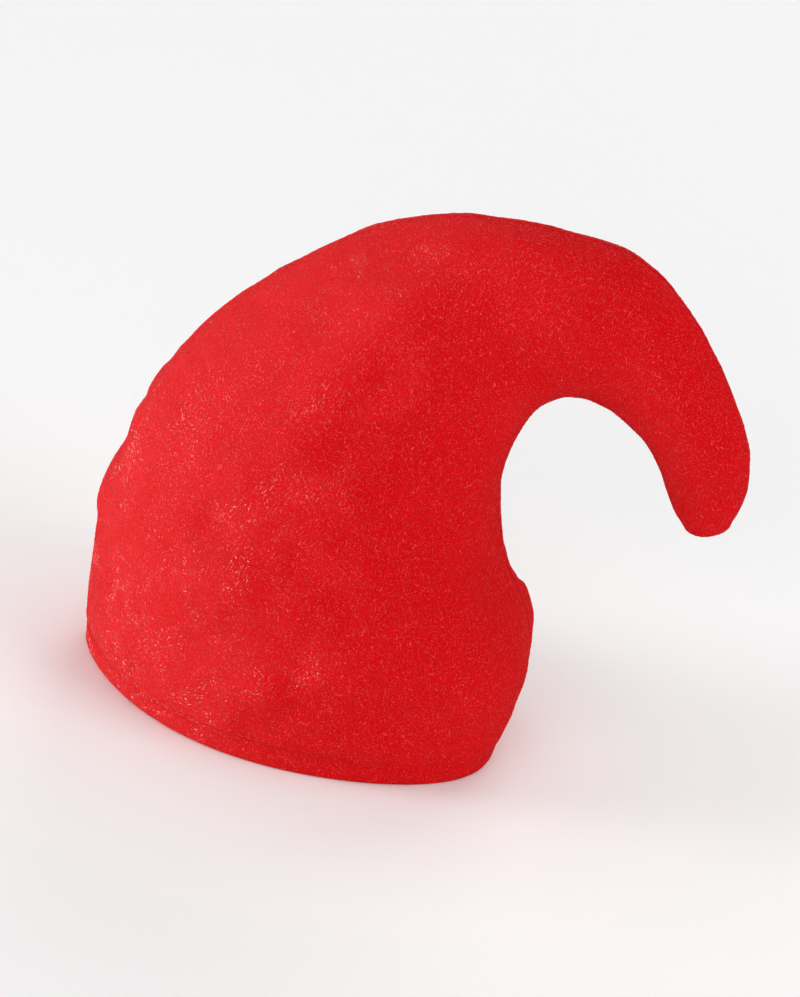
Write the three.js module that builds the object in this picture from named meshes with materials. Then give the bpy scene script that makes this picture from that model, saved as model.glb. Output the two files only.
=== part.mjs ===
// A felt gnome cap. Two shaped side panels are sewn together along the middle, the rim is turned up inside
// into a stitched hem, and the crown leans back into a peak that curls over and hangs down behind.
// Millimetres. The cap stands on its rim: X runs from the brow to the nape, Y across the head, Z up.
import * as THREE from 'three';
import { mergeVertices } from 'three/addons/utils/BufferGeometryUtils.js';

// Driving sizes
const RIM_LENGTH = 204; // outside, brow to nape
const RIM_WIDTH = 179; // outside, ear to ear
const HAT_HEIGHT = 259; // rim to the top of the bend
const PEAK_OVERHANG = 83; // how far the peak reaches behind the rim
const PEAK_WIDTH = 70; // side to side, where the crown has become the peak
const TIP_LENGTH = 5; // closed end past the last section
const TIP_BLUNTNESS = 2.4; // 2 is a half circle
const FELT_THICKNESS = 2;
const RIM_ROUND = 1; // how far the fold at the rim rounds off
const HEM_DEPTH = 10; // rim to the hem's stitching
const STITCH_SINK = 0.9; // how far the stitching pulls the felt in
const SEAM_GAP = 0.3; // between the two panels
const SEAM_SINK = 0.8; // how far the middle seam lies below the felt beside it
const SEAM_ROUND = 1.6; // from the middle seam to where the felt is full again
const SEAM_ALLOWANCE = 6; // felt turned in beside the middle seam
const HEM_TRIM = 0.1; // share of the seam allowance that is left in the hem
const PEAK_TRIM = 0.4; // share that is left where the peak ends
const TIP_TRIM = 0.24; // share that is left inside the tip
const FOLD_DEPTH = 4;
const FOLD_WIDTH = 14; // from a fold's middle to where it has mostly gone
const FOLD_MARGIN = 22; // folds fade out over this distance from the rim and from the middle seam

// Sections from the rim to the tip, each given by its ends [x, z] and its width. The outer seam runs up the
// brow, over the top and down the peak's far side, the inner seam up the nape and round under the bend. X is a
// share of RIM_LENGTH up to 1, and what is over 1 is a share of PEAK_OVERHANG. Z is a share of HAT_HEIGHT.
// Keen says how much the section narrows towards the brow and fills towards the nape.
const HEM_SHARE = HEM_DEPTH / HAT_HEIGHT;
const SECTIONS = [
  { place: 'rim', outer: [0, 0], inner: [1, 0], width: RIM_WIDTH, keen: 0.3 },
  { place: 'hem', outer: [-0.008, HEM_SHARE], inner: [1.01, HEM_SHARE], width: 1.01 * RIM_WIDTH, keen: 0.3 },
  { place: 'brow', outer: [-0.02, 0.095], inner: [1.03, 0.095], width: 1.03 * RIM_WIDTH, keen: 0.3 },
  { place: 'temple', outer: [-0.029, 0.194], inner: [1.062, 0.19], width: 1.035 * RIM_WIDTH, keen: 0.27 },
  { place: 'head top', outer: [-0.047, 0.29], inner: [0.99, 0.272], width: RIM_WIDTH, keen: 0.2 },
  { place: 'crown low', outer: [-0.019, 0.392], inner: [0.914, 0.354], width: 0.9 * RIM_WIDTH, keen: 0.14 },
  { place: 'crown middle', outer: [0.016, 0.53], inner: [0.87, 0.448], width: 0.8 * RIM_WIDTH, keen: 0.12 },
  { place: 'crown high', outer: [0.112, 0.672], inner: [0.852, 0.532], width: 0.69 * RIM_WIDTH, keen: 0.12 },
  { place: 'crown top', outer: [0.255, 0.805], inner: [0.862, 0.604], width: 0.58 * RIM_WIDTH, keen: 0.1 },
  { place: 'bend start', outer: [0.445, 0.93], inner: [0.894, 0.67], width: 1.2 * PEAK_WIDTH, keen: 0.1 },
  { place: 'bend rise', outer: [0.64, 0.987], inner: [0.948, 0.705], width: 1.03 * PEAK_WIDTH, keen: 0.1 },
  { place: 'bend top', outer: [0.84, 1], inner: [1.02, 0.708], width: 0.92 * PEAK_WIDTH, keen: 0.1 },
  { place: 'bend fall', outer: [1.085, 0.985], inner: [1.182, 0.691], width: 0.82 * PEAK_WIDTH, keen: 0.1 },
  { place: 'peak high', outer: [1.46, 0.897], inner: [1.364, 0.652], width: 0.72 * PEAK_WIDTH, keen: 0.1 },
  { place: 'peak middle', outer: [1.772, 0.777], inner: [1.474, 0.612], width: 0.62 * PEAK_WIDTH, keen: 0.1 },
  { place: 'peak low', outer: [1.965, 0.672], inner: [1.55, 0.57], width: 0.53 * PEAK_WIDTH, keen: 0.1 },
  { place: 'peak end', outer: [2, 0.593], inner: [1.615, 0.536], width: 0.44 * PEAK_WIDTH, keen: 0.08 },
  { place: 'tip', outer: [1.965, 0.54], inner: [1.69, 0.512], width: 0.34 * PEAK_WIDTH, keen: 0.05 },
];

// Folds worn into the panels, seen from the side, each a line with rounded ends. The ends [x, z] are shares
// as above, width is a share of FOLD_WIDTH and depth of FOLD_DEPTH, outward for a ridge, inward for a hollow.
const FOLDS = {
  left: [
    { place: 'crease over the brow', from: [-0.03, 0.31], to: [0.24, 0.36], width: 0.7, depth: -1 },
    { place: 'fullness above it', from: [0.02, 0.42], to: [0.16, 0.44], width: 0.8, depth: 0.7 },
    { place: 'tuck in the crown front', from: [0.01, 0.5], to: [0.1, 0.48], width: 0.6, depth: -0.8 },
    { place: 'long crown ridge, high', from: [0.62, 0.87], to: [0.5, 0.83], width: 0.9, depth: 0.6 },
    { place: 'long crown ridge, low', from: [0.5, 0.8], to: [0.36, 0.6], width: 1, depth: 0.9 },
    { place: 'hollow behind it', from: [0.4, 0.585], to: [0.54, 0.63], width: 0.7, depth: -0.8 },
    { place: 'ridge across the crown', from: [0.3, 0.47], to: [0.58, 0.51], width: 0.8, depth: 0.8 },
    { place: 'crease towards the ear', from: [0.21, 0.41], to: [0.53, 0.34], width: 0.7, depth: -1 },
    { place: 'ridge under it', from: [0.27, 0.33], to: [0.52, 0.29], width: 0.8, depth: 0.6 },
    { place: 'hollow at the temple', from: [0.24, 0.2], to: [0.46, 0.22], width: 1.2, depth: -0.7 },
    { place: 'ridge above the hem', from: [0.4, 0.13], to: [0.52, 0.13], width: 0.9, depth: 0.6 },
    { place: 'nape crease', from: [0.72, 0.5], to: [0.94, 0.34], width: 0.8, depth: -1 },
    { place: 'nape fullness', from: [0.76, 0.3], to: [0.9, 0.22], width: 1.1, depth: 0.6 },
  ],
  right: [
    { place: 'crease over the brow', from: [-0.02, 0.34], to: [0.28, 0.33], width: 0.8, depth: -0.8 },
    { place: 'crown ridge', from: [0.54, 0.8], to: [0.42, 0.58], width: 1.1, depth: 0.7 },
    { place: 'hollow across the crown', from: [0.3, 0.5], to: [0.6, 0.52], width: 0.9, depth: -0.7 },
    { place: 'hollow at the temple', from: [0.3, 0.22], to: [0.6, 0.2], width: 1.2, depth: -0.5 },
    { place: 'nape crease', from: [0.7, 0.48], to: [0.93, 0.33], width: 0.8, depth: -0.9 },
  ],
};

// Stations of the mesh, counted in rows of SECTIONS. The hem's inner layer ends between the two close ones.
const LAST = SECTIONS.length - 1;
const TIP_END = LAST + 1;
const HEM_LINE = 1;
const HEM_EDGE = 1.16;
const PAST_HEM = 1.22;
const HEM_STATIONS = [0, 0.12, 0.42, 0.76, HEM_LINE, HEM_EDGE, PAST_HEM, 1.6];
const BROW = 2;
const BODY_STATIONS = Array.from({ length: 2 * (LAST - BROW) + 1 }, (_, i) => BROW + i / 2);
const TIP_STATIONS = [0.35, 0.65, 0.88, 1].map((share) => LAST + share);
const STATIONS = [...HEM_STATIONS, ...BODY_STATIONS, ...TIP_STATIONS];
const TRIM_START = LAST - 4;
const STEPS_AROUND = 26;
const LINE_SIZE = STEPS_AROUND + 3; // points of a panel's outer line, and of its inner line
const SLOPE_STEP = 0.02;
const HALVINGS = 30;
const WELD = 1e-4;

const along = (share) => (share <= 1 ? share * RIM_LENGTH : RIM_LENGTH + (share - 1) * PEAK_OVERHANG);
const spot = ([shareX, shareZ]) => new THREE.Vector3(along(shareX), 0, shareZ * HAT_HEIGHT);
const smooth = (points) => new THREE.CatmullRomCurve3(points, false, 'catmullrom');
const outerSeam = smooth(SECTIONS.map((row) => spot(row.outer)));
const innerSeam = smooth(SECTIONS.map((row) => spot(row.inner)));
const fullness = smooth(SECTIONS.map((row) => new THREE.Vector3(row.width / 2, row.keen, 0)));

// A point of the cap's surface at station t and angle a, from 0 at the outer seam to PI at the inner seam.
// Past the last row the sections shrink to close the tip, there with the given inset from the outside.
function surfacePoint(t, a, inset = 0) {
  const share = Math.min(t, LAST) / LAST;
  const outer = outerSeam.getPoint(share);
  const inner = innerSeam.getPoint(share);
  const { x: fullWidth, y: keen } = fullness.getPoint(share);
  const middle = outer.clone().add(inner).multiplyScalar(0.5);
  const toOuter = outer.clone().sub(middle);
  let halfWidth = fullWidth;
  if (t > LAST) {
    const past = t - LAST;
    const shrink = (1 - past ** TIP_BLUNTNESS) ** (1 / TIP_BLUNTNESS);
    const onward = new THREE.Vector3(toOuter.z, 0, -toOuter.x).normalize();
    middle.addScaledVector(onward, (TIP_LENGTH - inset) * past);
    toOuter.setLength((toOuter.length() - inset) * shrink);
    halfWidth = (halfWidth - inset) * shrink;
  }
  const point = middle.addScaledVector(toOuter, Math.cos(a));
  point.y = halfWidth * Math.max(Math.sin(a), 0) ** (1 + keen * Math.cos(a));
  return point;
}

function outwardAt(t, a) {
  const at = Math.min(t, LAST);
  const above = surfacePoint(Math.min(at + SLOPE_STEP, LAST), a);
  const below = surfacePoint(Math.max(at - SLOPE_STEP, 0), a);
  const around = surfacePoint(at, a + SLOPE_STEP).sub(surfacePoint(at, a - SLOPE_STEP));
  const outward = above.sub(below).cross(around);
  if (t <= HEM_LINE) outward.z = 0; // the hem stands straight on the rim
  return outward.normalize();
}

const seamOutward = (t, atInner) => outwardAt(t, atInner ? Math.PI : 0).setY(0).normalize();

// How far the panel's folds push the felt out at a point of its surface
function foldAt(panel, point) {
  const push = FOLDS[panel].reduce((sum, fold) => {
    const line = new THREE.Line3(spot(fold.from), spot(fold.to));
    const flat = point.clone().setY(0);
    const away = flat.distanceTo(line.closestPointToPoint(flat, true, new THREE.Vector3()));
    return sum + fold.depth * FOLD_DEPTH * Math.exp(-((away / (fold.width * FOLD_WIDTH)) ** 2));
  }, 0);
  const fromRim = THREE.MathUtils.smoothstep(point.z, HEM_DEPTH, HEM_DEPTH + FOLD_MARGIN);
  const fromSeam = THREE.MathUtils.smoothstep(point.y, SEAM_ROUND, SEAM_ROUND + FOLD_MARGIN);
  return push * fromRim * fromSeam;
}

// How deep the hem's stitching and the fold at the rim take the outside in at station t
function sinkAt(t) {
  if (t === 0) return RIM_ROUND;
  return t === HEM_LINE ? STITCH_SINK : 0;
}

// The felt's inner face, under the outside: two layers in the hem, one above it
function depthAt(t) {
  if (t === 0) return 2 * FELT_THICKNESS - RIM_ROUND;
  return t <= HEM_EDGE ? 2 * FELT_THICKNESS : FELT_THICKNESS;
}

function outsidePoint(panel, t, a) {
  const point = surfacePoint(t, a);
  if (t > LAST) return point;
  return point.addScaledVector(outwardAt(t, a), foldAt(panel, point) - sinkAt(t));
}

function insidePoint(panel, t, a) {
  if (t > LAST) return surfacePoint(t, a, FELT_THICKNESS);
  const point = surfacePoint(t, a);
  return point.addScaledVector(outwardAt(t, a), foldAt(panel, point) - depthAt(t));
}

// The angle near one seam at which a face of the panel has come out to distance y from the seam's plane
function angleNearSeam(pointAt, y, atInner) {
  let low = 0;
  let high = Math.PI / 2;
  for (let i = 0; i < HALVINGS; i += 1) {
    const half = (low + high) / 2;
    if (pointAt(atInner ? Math.PI - half : half).y < y) low = half;
    else high = half;
  }
  return atInner ? Math.PI - high : high;
}

function evenAngles(from, to, steps) {
  return Array.from({ length: steps + 1 }, (_, i) => from + ((to - from) * i) / steps);
}

// Seam allowance standing in from the inner face: cut short in the hem and trimmed at the tip
function allowanceAt(t) {
  if (t <= HEM_EDGE) return HEM_TRIM * SEAM_ALLOWANCE;
  if (t > LAST) return TIP_TRIM * SEAM_ALLOWANCE;
  return SEAM_ALLOWANCE * THREE.MathUtils.lerp(1, PEAK_TRIM, THREE.MathUtils.smoothstep(t, TRIM_START, LAST));
}

// One closed loop round the panel's felt at station t: the outside from outer to inner seam, round the seam
// allowance, back along the inner face, and round the other allowance.
function panelLoop(panel, t) {
  const face = SEAM_GAP / 2;
  const back = face + FELT_THICKNESS;
  if (t === TIP_END) {
    const tip = surfacePoint(t, 0).setY(face);
    const within = surfacePoint(t, 0, FELT_THICKNESS).setY(back);
    const edge = within.clone().setY(face);
    const repeat = (point) => Array.from({ length: LINE_SIZE }, () => point.clone());
    return [...repeat(tip), edge, within.clone(), ...repeat(within), within.clone(), edge.clone()];
  }
  const outside = (a) => outsidePoint(panel, t, a);
  const inside = (a) => insidePoint(panel, t, a);

  const atOuter = angleNearSeam(outside, face, false);
  const atInner = angleNearSeam(outside, face, true);
  const fullOuter = angleNearSeam(outside, face + SEAM_ROUND, false);
  const fullInner = angleNearSeam(outside, face + SEAM_ROUND, true);
  const outerLine = [atOuter, ...evenAngles(fullOuter, fullInner, STEPS_AROUND), atInner].map(outside);
  const seamSink = t > LAST ? 0 : SEAM_SINK;
  outerLine[0].addScaledVector(seamOutward(t, false), -seamSink).setY(face);
  outerLine.at(-1).addScaledVector(seamOutward(t, true), -seamSink).setY(face);

  const backInner = angleNearSeam(inside, back, true);
  const backOuter = angleNearSeam(inside, back, false);
  const innerLine = evenAngles(backInner, backOuter, LINE_SIZE - 1).map(inside);
  innerLine[0].setY(back);
  innerLine.at(-1).setY(back);

  const depth = allowanceAt(t);
  const edgeAt = (from, inner, y) => from.clone().addScaledVector(seamOutward(t, inner), -depth).setY(y);
  return [
    ...outerLine,
    edgeAt(innerLine[0], true, face),
    edgeAt(innerLine[0], true, back),
    ...innerLine,
    edgeAt(innerLine.at(-1), false, back),
    edgeAt(innerLine.at(-1), false, face),
  ];
}

// The loops skinned into one solid. The rim's loop is closed by quads from its outer line to its inner line.
function panelGeometry(panel) {
  const loops = STATIONS.map((t) => panelLoop(panel, t));
  const size = loops[0].length;
  const points = loops.flat();
  if (panel === 'left') points.forEach((point) => point.setY(-point.y));

  const triangles = [];
  const addQuad = (a, b, c, d) => triangles.push([a, b, c], [a, c, d]);
  loops.slice(1).forEach((_, row) => {
    for (let i = 0; i < size; i += 1) {
      const next = (i + 1) % size;
      addQuad(row * size + i, row * size + next, (row + 1) * size + next, (row + 1) * size + i);
    }
  });
  const innerOf = (i) => LINE_SIZE + 2 + (LINE_SIZE - 1 - i);
  for (let i = 0; i < LINE_SIZE - 1; i += 1) addQuad(i, innerOf(i), innerOf(i + 1), i + 1);
  addQuad(LINE_SIZE - 1, LINE_SIZE + 2, LINE_SIZE + 1, LINE_SIZE);
  addQuad(0, size - 1, size - 2, innerOf(0));

  const geometry = new THREE.BufferGeometry();
  const places = points.flatMap((point) => point.toArray());
  geometry.setAttribute('position', new THREE.Float32BufferAttribute(places, 3));
  geometry.setIndex(triangles.flatMap(([a, b, c]) => (panel === 'left' ? [a, b, c] : [a, c, b])));
  const merged = mergeVertices(geometry, WELD);
  const index = merged.getIndex().array;
  const kept = [];
  for (let i = 0; i < index.length; i += 3) {
    const [a, b, c] = [index[i], index[i + 1], index[i + 2]];
    if (a !== b && b !== c && c !== a) kept.push(a, b, c);
  }
  merged.setIndex(kept);
  merged.computeVertexNormals();
  return merged;
}

const redFelt = new THREE.MeshStandardMaterial({
  name: 'red felt',
  color: 0xd8181f,
  roughness: 0.95,
  metalness: 0,
});

const group = new THREE.Group();
group.name = 'gnome_cap';
const left = new THREE.Mesh(panelGeometry('left'), redFelt);
left.name = 'panel_left';
const right = new THREE.Mesh(panelGeometry('right'), redFelt);
right.name = 'panel_right';
group.add(left, right);

// The origin is under the middle of the cap's bounding box, on the surface that it stands on
const bounds = new THREE.Box3().setFromObject(group);
const middle = bounds.getCenter(new THREE.Vector3());
group.children.forEach((mesh) => mesh.geometry.translate(-middle.x, -middle.y, -bounds.min.z));

export default group;
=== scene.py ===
"""A red felt gnome cap standing on its rim on a pale floor, in soft studio light."""
import math

import bmesh
import bpy
from mathutils import Matrix, Vector, noise
from mathutils.kdtree import KDTree


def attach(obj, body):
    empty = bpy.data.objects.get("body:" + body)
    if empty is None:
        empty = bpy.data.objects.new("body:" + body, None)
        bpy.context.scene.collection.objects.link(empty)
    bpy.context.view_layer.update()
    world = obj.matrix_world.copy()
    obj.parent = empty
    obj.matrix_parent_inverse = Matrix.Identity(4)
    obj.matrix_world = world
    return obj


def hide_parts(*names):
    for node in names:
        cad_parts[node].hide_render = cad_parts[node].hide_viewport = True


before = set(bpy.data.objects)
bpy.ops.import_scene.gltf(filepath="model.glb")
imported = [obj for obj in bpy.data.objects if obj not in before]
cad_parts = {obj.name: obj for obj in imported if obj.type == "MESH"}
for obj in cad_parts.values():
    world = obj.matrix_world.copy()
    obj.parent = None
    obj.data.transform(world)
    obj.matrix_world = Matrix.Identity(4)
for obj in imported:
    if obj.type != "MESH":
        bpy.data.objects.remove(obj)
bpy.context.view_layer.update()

# The camera looks down at the cap's left side from a long way off, as a product photograph is taken, and the
# picture is turned a little, so that the rim runs down to the right.
MM = 0.001
CAMERA_AT = Vector((-36.7, -1976.1, 964.4)) * MM
CAMERA_AIM = Vector((-8.5, 1.2, 109.4)) * MM
PICTURE_TURN = math.radians(14.44)
FOCAL_LENGTH = 165.0

camera_data = bpy.data.cameras.new("camera")
camera_data.lens = FOCAL_LENGTH
camera = bpy.data.objects.new("camera", camera_data)
bpy.context.scene.collection.objects.link(camera)
camera.location = CAMERA_AT
aimed = (CAMERA_AIM - CAMERA_AT).to_track_quat("-Z", "Y")
camera.rotation_euler = (aimed.to_matrix() @ Matrix.Rotation(PICTURE_TURN, 3, "Z")).to_euler()
bpy.context.scene.camera = camera


# The floor is a sheet of white studio paper, wide enough to fill every view.
def linear(hex_colour):
    """An sRGB hex colour as linear red, green, blue and alpha."""
    shares = [int(hex_colour[i : i + 2], 16) / 255 for i in (1, 3, 5)]
    return [s / 12.92 if s <= 0.04045 else ((s + 0.055) / 1.055) ** 2.4 for s in shares] + [1.0]


def add_node(tree, kind, settings=None, **inputs):
    """A node with its settings. Each input is set to a value, or linked where an output is given."""
    node = tree.nodes.new(kind)
    for name, value in (settings or {}).items():
        setattr(node, name, value)
    for name, value in inputs.items():
        socket = node.inputs[name.replace("_", " ")]
        if isinstance(value, bpy.types.NodeSocket):
            tree.links.new(value, socket)
        else:
            socket.default_value = value
    return node


FLOOR_SIZE = 12.0
PAPER_WHITE = "#F4F4F4"
PAPER_GLOW = 0.05

bm = bmesh.new()
bmesh.ops.create_grid(bm, x_segments=1, y_segments=1, size=FLOOR_SIZE / 2)
floor_mesh = bpy.data.meshes.new("floor")
bm.to_mesh(floor_mesh)
bm.free()
floor = bpy.data.objects.new("floor", floor_mesh)
bpy.context.scene.collection.objects.link(floor)

# Matt coated paper: it gives one even white with no gloss
studio_paper = bpy.data.materials.new("matt white studio paper")
studio_paper.use_nodes = True
paper_shader = studio_paper.node_tree.nodes["Principled BSDF"]
paper_shader.inputs["Base Color"].default_value = linear(PAPER_WHITE)
paper_shader.inputs["Roughness"].default_value = 0.9
paper_shader.inputs["Specular IOR Level"].default_value = 0.13
paper_shader.inputs["Emission Color"].default_value = (1.0, 1.0, 1.0, 1.0)
paper_shader.inputs["Emission Strength"].default_value = PAPER_GLOW
floor.data.materials.append(studio_paper)
floor.visible_glossy = False

# Light comes low from a soft box beside the brow, and a second box next to it gives the fibres their gloss.
# Wider boxes fill in from all sides without gloss. The world is an even white for the camera alone.
SOFT_BOXES = [
    {"name": "key", "at": (-3.6, -0.95, 0.55), "size": 1.5, "watts": 116, "shade": True, "gloss": False},
    {"name": "key gloss", "at": (-3.4, -0.65, 0.1), "size": 1.7, "watts": 830, "shade": False, "gloss": True},
    {"name": "front fill", "at": (-1.15, -4.2, 1.05), "size": 3, "watts": 94, "shade": True, "gloss": False},
    {"name": "side fill", "at": (4.0, -1.35, 1.25), "size": 3.0, "watts": 123, "shade": True, "gloss": False},
    {"name": "overhead fill", "at": (0, 0.4, 4.5), "size": 5.7, "watts": 144, "shade": True, "gloss": False},
    {"name": "back fill", "at": (0.95, 4.4, 2.2), "size": 3.0, "watts": 87, "shade": True, "gloss": False},
]
LIGHT_AIM = Vector((0, 0, 0.12))
WORLD_STRENGTH = 0.9

for box in SOFT_BOXES:
    light = bpy.data.lights.new(box["name"], "AREA")
    light.energy = box["watts"]
    light.size = box["size"]
    light_object = bpy.data.objects.new(box["name"], light)
    light_object.location = box["at"]
    light_object.visible_diffuse = box["shade"]
    light_object.visible_glossy = box["gloss"]
    light_object.rotation_euler = (LIGHT_AIM - Vector(box["at"])).to_track_quat("-Z", "Y").to_euler()
    bpy.context.scene.collection.objects.link(light_object)

world = bpy.data.worlds.new("studio")
world.use_nodes = True
sky = world.node_tree.nodes["Background"]
sky.inputs["Color"].default_value = (1.0, 1.0, 1.0, 1.0)
seen = add_node(world.node_tree, "ShaderNodeLightPath").outputs["Is Camera Ray"]
brightness = add_node(world.node_tree, "ShaderNodeMapRange", Value=seen, To_Min=0.0, To_Max=WORLD_STRENGTH)
world.node_tree.links.new(brightness.outputs["Result"], sky.inputs["Strength"])
bpy.context.scene.world = world
bpy.context.scene.view_settings.view_transform = "Standard"

# The cap's two side panels are needle-punched polyester felt, 2 mm thick, cut to one outline, sewn together
# face to face along the middle, and turned right side out. The rim is turned up inside and stitched.
FELT_RED = "#DC060E"
FELT_DARK = "#C8040B"
# The light pink is a painted highlight, given to the uppermost fibres
FELT_PAINTED_HIGHLIGHT = "#F64448"
FIBRE_WIDTH = 0.25 * MM
FIBRE_STRETCH = 5.0
STRAND_PITCH = 2.2 * FIBRE_WIDTH
SWIRL_SIZE = 9 * MM
SWIRL_BEND = 5 * MM
NAP_PATCH = 32 * MM
NAP_SHARE = 0.15
GROUND_ROUGHNESS = 0.95
FIBRE_ROUGHNESS = 0.35
FIBRE_DIRECTIONS = [(0.1, 0.4, 0.0), (0.3, 1.3, 0.5), (-0.2, 2.2, 1.1), (0.5, 2.9, 2.0), (1.3, 0.2, 1.6)]
FLECK_START = 0.63
FLECK_FULL = 0.74
FLECK_RISE = 0.3 * MM
FELT_TONES = [(0.0, FELT_DARK), (0.35, FELT_RED), (1.0, FELT_PAINTED_HIGHLIGHT)]


def join(tree, kind, operation, *inputs):
    """A maths or vector node, with its sockets filled in order. The first output is returned."""
    node = add_node(tree, kind, {"operation": operation})
    for socket, value in zip(node.inputs, inputs):
        if isinstance(value, bpy.types.NodeSocket):
            tree.links.new(value, socket)
        else:
            socket.default_value = value
    return node.outputs[0]


# Needle-punched polyester felt: short fibres lie in all directions, with almost no gloss. The fine light
# flecks over a deeper red are painted into the colour, as a painted highlight on the uppermost fibres. The
# fibres are drawn 0.25 mm wide, coarser than real ones, so that they show.
felt = bpy.data.materials.new("needle-punched red polyester felt")
felt.use_nodes = True
felt_tree = felt.node_tree
felt_shader = felt_tree.nodes["Principled BSDF"]
place = add_node(felt_tree, "ShaderNodeTexCoord").outputs["Object"]

# The needles leave the fibres in soft swirls, so a slow noise bends the coordinates that the fibres follow
swirl = add_node(felt_tree, "ShaderNodeTexNoise", Vector=place, Scale=1 / SWIRL_SIZE, Detail=2.0)
centred = join(felt_tree, "ShaderNodeVectorMath", "SUBTRACT", swirl.outputs["Color"], (0.5, 0.5, 0.5))
bent = join(felt_tree, "ShaderNodeVectorMath", "MULTIPLY_ADD", centred, (SWIRL_BEND,) * 3, place)
fibres = 0.0
for turn in FIBRE_DIRECTIONS:
    turned = add_node(
        felt_tree, "ShaderNodeMapping", {"vector_type": "TEXTURE"}, Vector=bent, Rotation=turn,
        Scale=(FIBRE_STRETCH, 1.0, 1.0),
    )
    strand = add_node(
        felt_tree, "ShaderNodeTexNoise", Vector=turned.outputs[0], Scale=1 / STRAND_PITCH, Detail=1.0,
    )
    fibres = join(felt_tree, "ShaderNodeMath", "MAXIMUM", strand.outputs["Fac"], fibres)

# Only the uppermost fibres catch the light, and their colour is painted lighter as a painted highlight. They
# are smoother to the eye than the loose ground between them
upper = add_node(
    felt_tree, "ShaderNodeMapRange", {"interpolation_type": "SMOOTHSTEP"}, Value=fibres, From_Min=FLECK_START,
    From_Max=FLECK_FULL,
).outputs["Result"]
nap = add_node(felt_tree, "ShaderNodeTexNoise", Vector=place, Scale=1 / NAP_PATCH, Detail=3.0, Roughness=0.6)
# The colour mixes a random nap tone with a painted highlight on the uppermost fibres
nap_and_painted_flecks = join(felt_tree, "ShaderNodeMath", "MULTIPLY_ADD", nap.outputs["Fac"], NAP_SHARE, upper)
tone = add_node(felt_tree, "ShaderNodeValToRGB", Fac=nap_and_painted_flecks)
tone.color_ramp.elements.new(0.5)
for element, (position, colour) in zip(tone.color_ramp.elements, FELT_TONES):
    element.position = position
    element.color = linear(colour)
felt_tree.links.new(tone.outputs["Color"], felt_shader.inputs["Base Color"])
relief = add_node(felt_tree, "ShaderNodeBump", Height=upper, Strength=1.0, Distance=FLECK_RISE)
felt_tree.links.new(relief.outputs["Normal"], felt_shader.inputs["Normal"])
gloss = add_node(
    felt_tree, "ShaderNodeMapRange", Value=upper, To_Min=GROUND_ROUGHNESS, To_Max=FIBRE_ROUGHNESS,
)
felt_tree.links.new(gloss.outputs["Result"], felt_shader.inputs["Roughness"])
felt_shader.inputs["Specular IOR Level"].default_value = 0.12

# What handling and sewing do to the panels: dents, puckers along the seam, and the hem's groove
WELD = 0.01 * MM
SEAM_PLANE = 1.22 * MM
DENT_DEPTH = 1.9 * MM
DENT_SIZE = 30 * MM
DENT_LAYERS = [(1.0, 1.0, 1), (2.3, 0.5, -1), (5.0, 0.2, 1)]
PUCKER_DEPTH = 0.8 * MM
PUCKER_LENGTH = 14 * MM
PUCKER_START = 2 * MM
PUCKER_REACH = 16 * MM
HEM_HEIGHT = 10 * MM
HEM_GROOVE = 1.3 * MM
HEM_GROOVE_WIDTH = 1.8 * MM
HEM_PUFF = 0.8 * MM
HEM_PUFF_LENGTH = 9 * MM
HEM_EASE = 0.7
HEM_EASE_FROM = -80 * MM
HEM_EASE_TO = 40 * MM
RIM_EDGE = 2 * MM
FLOOR_HOLD = 4 * MM
FLOOR_FADE = 14 * MM
SEAM_GAP = 0.3 * MM
SEAM_PRESS = 0.06 * MM
SEAM_EASE = 3 * MM

# The middle line of the hollow, in millimetres of x and z. Away from it is outwards
SPINE = [
    (-37, 0), (-42, 75), (-48, 127), (-25, 182), (-2, 207), (50, 221), (100, 200), (128, 161), (134, 136),
]
SPINE_STEPS = 50

# Tucks where the middle seam draws the felt in at the brow, from the seam into the panel, in millimetres of x
# and z. A depth below zero is the fullness between two tucks. A tuck begins to fade at TUCK_HOLD of its run.
TUCK_HOLD = 0.2
TUCK_END = 1.2
TUCKS = [
    {"start": (-130, 149), "end": (-112, 143), "depth": 1.2, "width": 5},
    {"start": (-138, 127), "end": (-118, 120), "depth": 1.3, "width": 4},
    {"start": (-143, 105), "end": (-120, 106), "depth": 1.2, "width": 8},
    {"start": (-149, 86), "end": (-130, 88), "depth": -0.8, "width": 9},
    {"start": (-147, 64), "end": (-105, 74), "depth": 1.3, "width": 6},
]

# The dents and soft folds that handling has left in each panel, in the same way of writing
CREASES = {
    "left": [
        {"start": (-28, 216), "end": (-4, 194), "depth": -3.0, "width": 15},
        {"start": (-60, 150), "end": (-12, 181), "depth": -2.8, "width": 9},
        {"start": (-46, 138), "end": (-32, 134), "depth": -2.4, "width": 10},
        {"start": (-92, 104), "end": (-40, 98), "depth": 1.8, "width": 6},
        {"start": (-98, 91), "end": (-38, 86), "depth": -1.7, "width": 6},
        {"start": (-89, 79), "end": (-42, 74), "depth": -1.3, "width": 6},
        {"start": (-78, 55), "end": (-40, 62), "depth": 2.6, "width": 14},
        {"start": (-52, 40), "end": (-46, 38), "depth": -1.8, "width": 9},
    ],
    "right": [
        {"start": (-40, 200), "end": (-10, 180), "depth": -3.0, "width": 14},
        {"start": (-95, 84), "end": (-45, 92), "depth": -1.9, "width": 6},
        {"start": (-70, 60), "end": (-35, 52), "depth": 2.2, "width": 12},
    ],
}

spine = KDTree((len(SPINE) - 1) * SPINE_STEPS)
for i, ((x, z), (next_x, next_z)) in enumerate(zip(SPINE, SPINE[1:])):
    for step in range(SPINE_STEPS):
        middle = Vector((x, 0, z)).lerp(Vector((next_x, 0, next_z)), step / SPINE_STEPS) * MM
        spine.insert(middle + Vector((0, SEAM_PLANE, 0)), i * SPINE_STEPS + step)
spine.balance()


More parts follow.
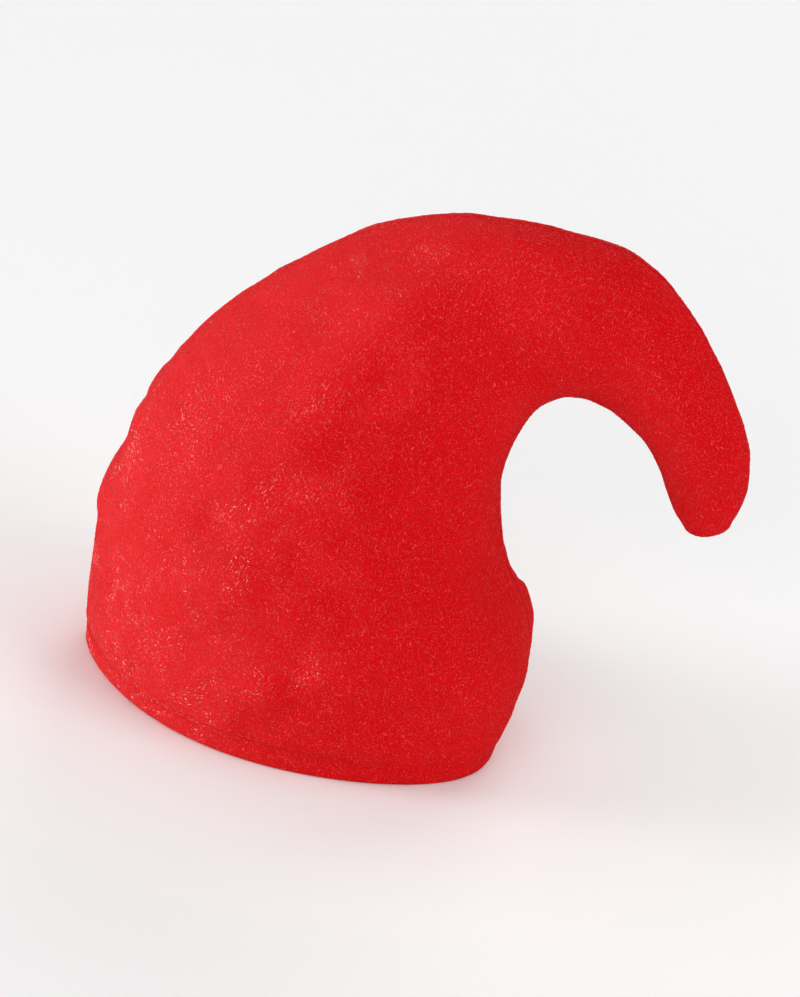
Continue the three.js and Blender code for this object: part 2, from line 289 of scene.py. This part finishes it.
def ease(value, start, end):
    """0 below start and 1 above end, with a smooth rise between them."""
    share = min(max((value - start) / (end - start), 0.0), 1.0)
    return share * share * (3 - 2 * share)


def hump(away, width):
    """A soft ridge's height at a distance from its middle: 1 there, and near 0 at twice its width."""
    return math.exp(-((away / width) ** 2))


def dent(flat, offset):
    """The broad and the small dents of worn felt at a place of the panel's side view."""
    at = flat / DENT_SIZE
    return sum(share * noise.noise(at * times + offset * sign) for times, share, sign in DENT_LAYERS)


def drawn_in(flat, row):
    """How far a tuck or crease draws the felt in at a place of the side view, and where along its run."""
    start, end = (Vector((x, 0, z)) * MM for x, z in (row["start"], row["end"]))
    run = end - start
    share = (flat - start).dot(run) / run.length_squared
    away = (flat - start - run * min(max(share, 0.0), 1.0)).length
    return row["depth"] * MM * hump(away, row["width"] * MM), share


def tuck(flat):
    """How far the seam's tucks draw the felt in. Each one fades out into the panel."""
    drawn = 0.0
    for row in TUCKS:
        depth, share = drawn_in(flat, row)
        drawn += depth * (1 - ease(share, TUCK_HOLD, TUCK_END))
    return drawn


def crumple(mesh, offset, creases):
    """Presses dents, seam puckers and the hem's groove into a panel. Both faces of the felt move together."""
    for vertex in mesh.vertices:
        place = vertex.co.copy()
        flat = Vector((place.x, 0, place.z))
        outward = (place - spine.find(place)[0]).normalized()
        off_seam = ease(abs(place.y - SEAM_PLANE), PUCKER_START, PUCKER_REACH)
        push = DENT_DEPTH * dent(flat, offset) * off_seam
        push += PUCKER_DEPTH * noise.noise(flat / PUCKER_LENGTH) * (1 - off_seam)
        push -= tuck(flat) + off_seam * sum(drawn_in(flat, row)[0] for row in creases)
        push *= ease(place.z, FLOOR_HOLD, FLOOR_FADE)

        # The hem's stitching draws the felt in, most at the brow, and the hem puffs a little below it
        at_brow = 1 - HEM_EASE * ease(place.x, HEM_EASE_FROM, HEM_EASE_TO)
        groove = HEM_GROOVE * at_brow * hump(place.z - HEM_HEIGHT, HEM_GROOVE_WIDTH)
        puff = HEM_PUFF * noise.noise(place / HEM_PUFF_LENGTH + offset)
        puff *= hump(place.z - HEM_HEIGHT / 2, HEM_HEIGHT / 3) * ease(place.z, 0, RIM_EDGE)
        outward.z *= ease(place.z, HEM_HEIGHT, 3 * HEM_HEIGHT)
        vertex.co = place + outward * (push - groove + puff)

        # The sewing presses the two panels' edges together, so that no light shows through the seam
        closing = (SEAM_GAP / 2 + SEAM_PRESS) * (1 - ease(abs(place.y - SEAM_PLANE), SEAM_GAP, SEAM_EASE))
        vertex.co.y -= math.copysign(closing, place.y - SEAM_PLANE)


DENT_OFFSETS = {"left": Vector((3.1, 7.7, 0.4)), "right": Vector((11.3, 2.9, 5.2))}
panels = {}
for side, offset in DENT_OFFSETS.items():
    name = f"panel_{side}"
    bm = bmesh.new()
    bm.from_mesh(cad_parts[name].data)
    bmesh.ops.remove_doubles(bm, verts=bm.verts, dist=WELD)
    bmesh.ops.join_triangles(
        bm, faces=bm.faces, angle_face_threshold=math.radians(60), angle_shape_threshold=math.radians(80),
    )
    mesh = bpy.data.meshes.new(f"felt_{name}")
    bm.to_mesh(mesh)
    bm.free()
    mesh.shade_smooth()
    mesh.materials.append(felt)
    panel = bpy.data.objects.new(f"felt_{name}", mesh)
    bpy.context.scene.collection.objects.link(panel)

    smooth = panel.modifiers.new("smooth", "SUBSURF")
    smooth.levels = 2
    smooth.render_levels = 2
    bpy.context.view_layer.update()
    finished = bpy.data.meshes.new_from_object(panel.evaluated_get(bpy.context.evaluated_depsgraph_get()))
    panel.modifiers.clear()
    crumple(finished, offset, CREASES[side])
    panel.data = finished
    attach(panel, "root")
    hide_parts(name)
    panels[side] = panel

# A row of lockstitches in red polyester thread holds the turned-up edge of the rim. It sinks into the felt,
# outside and inside. The thread is drawn 0.45 mm thick, coarser than the real one, so that it shows.
THREAD_RED = "#C4060D"
THREAD_LIGHT = "#E0282C"
THREAD_WIDTH = 0.45 * MM
THREAD_LIFT = 0.05 * MM
STITCH_LENGTH = 2.5 * MM
STITCH_PITCH = 3.0 * MM
SEAM_MARGIN = 1.5 * MM
PLY = 0.25 * MM

thread = bpy.data.materials.new("twisted red polyester sewing thread")
thread.use_nodes = True
thread_tree = thread.node_tree
thread_shader = thread_tree.nodes["Principled BSDF"]
thread_place = add_node(thread_tree, "ShaderNodeTexCoord").outputs["Object"]
plies = add_node(thread_tree, "ShaderNodeTexNoise", Vector=thread_place, Scale=1 / PLY, Detail=1.0)
thread_tone = add_node(thread_tree, "ShaderNodeValToRGB", Fac=plies.outputs["Fac"])
thread_tone.color_ramp.elements[0].color = linear(THREAD_RED)
thread_tone.color_ramp.elements[1].color = linear(THREAD_LIGHT)
thread_tree.links.new(thread_tone.outputs["Color"], thread_shader.inputs["Base Color"])
twist = add_node(thread_tree, "ShaderNodeBump", Height=plies.outputs["Fac"], Strength=0.6, Distance=0.1 * MM)
thread_tree.links.new(twist.outputs["Normal"], thread_shader.inputs["Normal"])
thread_shader.inputs["Roughness"].default_value = 0.5
thread_shader.inputs["Specular IOR Level"].default_value = 0.2


def cut_round(mesh, height):
    """The points where a level plane cuts a panel, in order round both faces of the felt."""
    bm = bmesh.new()
    bm.from_mesh(mesh)
    bmesh.ops.bisect_plane(
        bm, geom=bm.verts[:] + bm.edges[:] + bm.faces[:], plane_co=(0, 0, height), plane_no=(0, 0, 1),
        clear_inner=True, clear_outer=True,
    )
    points = []
    before = None
    vertex = next(iter(bm.verts))
    while vertex and len(points) < len(bm.verts):
        points.append(vertex.co.copy())
        ahead = [edge.other_vert(vertex) for edge in vertex.link_edges]
        ahead = [other for other in ahead if other is not before]
        before, vertex = vertex, ahead[0] if ahead else None
    bm.free()
    return points


bm = bmesh.new()
up = Vector((0, 0, 1))
for panel in panels.values():
    points = cut_round(panel.data, HEM_HEIGHT)
    after = points[1:] + points[:1]
    turn = math.copysign(1, sum(here.x * there.y - there.x * here.y for here, there in zip(points, after)))
    reach = 0.0
    for here, there in zip(points, after):
        step = there - here
        along = step.normalized()
        outward = along.cross(up) * turn
        while reach < step.length:
            spot = here + along * reach + outward * THREAD_LIFT
            reach += STITCH_PITCH
            if abs(spot.y - SEAM_PLANE) < SEAM_MARGIN:
                continue
            facing = Matrix((along, up, outward)).transposed()
            lie = facing @ Matrix.Diagonal((STITCH_LENGTH, THREAD_WIDTH, THREAD_WIDTH))
            bmesh.ops.create_uvsphere(
                bm, u_segments=6, v_segments=4, radius=0.5, matrix=Matrix.Translation(spot) @ lie.to_4x4(),
            )
        reach -= step.length
bmesh.ops.recalc_face_normals(bm, faces=bm.faces)
stitch_mesh = bpy.data.meshes.new("hem_stitches")
bm.to_mesh(stitch_mesh)
bm.free()
stitch_mesh.shade_smooth()
stitch_mesh.materials.append(thread)
stitches = bpy.data.objects.new("hem_stitches", stitch_mesh)
bpy.context.scene.collection.objects.link(stitches)
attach(stitches, "root")

# Short loose ends of polyester fibre stand up from the face of the felt, each one lying its own way along the
# swirls. They are drawn about 0.15 mm thick, coarser than real ones, so that they show.
LOOSE_FIBRES = [
    {
        "name": "bright", "colour": "#E61B20", "length": 1.8 * MM, "thickness": 0.16 * MM,
        "per_m2": 190000, "seed": 3,
    },
    {
        "name": "pale", "colour": "#F22E33", "length": 1.3 * MM, "thickness": 0.15 * MM,
        "per_m2": 130000, "seed": 8,
    },
]
FIBRE_LIFT = 0.12 * MM
FACING_OUT = 0.2
SWIRL_TURNS = 12.0
STRAY_TURN = 0.9
SMALLEST_FIBRE = 0.6
LARGEST_FIBRE = 1.3
BARE_SEAM = 0.5 * MM
BARE_HEM = 1.5 * MM


def loose_fibre(row):
    """One short fibre, thick in the middle and pointed at its ends, that arches up a little."""
    bm = bmesh.new()
    bmesh.ops.create_uvsphere(bm, u_segments=3, v_segments=2, radius=1.0)
    half = row["length"] / 2
    radius = row["thickness"] / 2
    bmesh.ops.rotate(bm, verts=bm.verts, matrix=Matrix.Rotation(math.pi / 2, 3, "Y"))
    bmesh.ops.scale(bm, verts=bm.verts, vec=(half, radius, radius))
    middle = [vertex for vertex in bm.verts if abs(vertex.co.x) < half / 2]
    bmesh.ops.translate(bm, verts=middle, vec=(0, 0, FIBRE_LIFT))
    mesh = bpy.data.meshes.new(f"{row['name']} loose fibre")
    bm.to_mesh(mesh)
    bm.free()

    # Polyester staple fibre, spun and dyed: a plain bright red with a soft gloss
    material = bpy.data.materials.new(f"{row['name']} dyed polyester fibre")
    material.use_nodes = True
    fibre_shader = material.node_tree.nodes["Principled BSDF"]
    fibre_shader.inputs["Base Color"].default_value = linear(row["colour"])
    fibre_shader.inputs["Roughness"].default_value = 0.4
    fibre_shader.inputs["Specular IOR Level"].default_value = 0.5
    mesh.materials.append(material)
    return bpy.data.objects.new(mesh.name, mesh)


def scatter(tree, surface, row, fibre):
    """Fibres spread over a surface, turned along the swirls of the felt with a random stray."""
    points = add_node(
        tree, "GeometryNodeDistributePointsOnFaces", Mesh=surface, Density=row["per_m2"], Seed=row["seed"],
    )
    upright = add_node(
        tree, "FunctionNodeAlignRotationToVector", {"axis": "Z"}, Vector=points.outputs["Normal"],
    )
    position = add_node(tree, "GeometryNodeInputPosition").outputs["Position"]
    swirls = add_node(tree, "ShaderNodeTexNoise", Vector=position, Scale=1 / SWIRL_SIZE / 2, Detail=1.0)
    along = join(tree, "ShaderNodeMath", "MULTIPLY", swirls.outputs["Fac"], SWIRL_TURNS)
    stray = add_node(tree, "FunctionNodeRandomValue", {"data_type": "FLOAT"}, Seed=row["seed"])
    stray.inputs[2].default_value = -STRAY_TURN
    stray.inputs[3].default_value = STRAY_TURN
    angle = join(tree, "ShaderNodeMath", "ADD", along, stray.outputs[1])
    turn = add_node(tree, "ShaderNodeCombineXYZ", Z=angle)
    turned = add_node(
        tree, "FunctionNodeRotateRotation", {"rotation_space": "LOCAL"}, Rotation=upright.outputs["Rotation"],
        Rotate_By=turn.outputs[0],
    )
    size = add_node(tree, "FunctionNodeRandomValue", {"data_type": "FLOAT"}, Seed=row["seed"] + 1)
    size.inputs[2].default_value = SMALLEST_FIBRE
    size.inputs[3].default_value = LARGEST_FIBRE
    shape = add_node(tree, "GeometryNodeObjectInfo", Object=fibre)
    return add_node(
        tree, "GeometryNodeInstanceOnPoints", Points=points.outputs["Points"],
        Instance=shape.outputs["Geometry"], Rotation=turned.outputs["Rotation"], Scale=size.outputs[1],
    ).outputs["Instances"]


fibre_shapes = {row["name"]: loose_fibre(row) for row in LOOSE_FIBRES}
for side, panel in panels.items():
    bm = bmesh.new()
    bm.from_mesh(panel.data)
    hidden = []
    for face in bm.faces:
        middle = face.calc_center_median()
        outward = (middle - spine.find(middle)[0]).normalized()
        near_seam = abs(middle.y - SEAM_PLANE) < BARE_SEAM
        if face.normal.dot(outward) < FACING_OUT or middle.z < BARE_HEM or near_seam:
            hidden.append(face)
    bmesh.ops.delete(bm, geom=hidden, context="FACES")
    mesh = bpy.data.meshes.new(f"loose_fibres_{side}")
    bm.to_mesh(mesh)
    bm.free()
    fuzz = bpy.data.objects.new(f"loose_fibres_{side}", mesh)
    bpy.context.scene.collection.objects.link(fuzz)

    tree = bpy.data.node_groups.new("loose fibres", "GeometryNodeTree")
    tree.interface.new_socket("Geometry", in_out="INPUT", socket_type="NodeSocketGeometry")
    tree.interface.new_socket("Geometry", in_out="OUTPUT", socket_type="NodeSocketGeometry")
    surface = add_node(tree, "NodeGroupInput").outputs["Geometry"]
    together = add_node(tree, "GeometryNodeJoinGeometry")
    for row in LOOSE_FIBRES:
        tree.links.new(scatter(tree, surface, row, fibre_shapes[row["name"]]), together.inputs[0])
    solid = add_node(tree, "GeometryNodeRealizeInstances", Geometry=together.outputs[0])
    add_node(tree, "NodeGroupOutput", Geometry=solid.outputs[0])
    fuzz.modifiers.new("fibres", "NODES").node_group = tree
    bpy.context.view_layer.update()
    fuzz.data = bpy.data.meshes.new_from_object(fuzz.evaluated_get(bpy.context.evaluated_depsgraph_get()))
    fuzz.modifiers.clear()
    bpy.data.node_groups.remove(tree)
    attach(fuzz, "root")
for shape in fibre_shapes.values():
    bpy.data.objects.remove(shape)
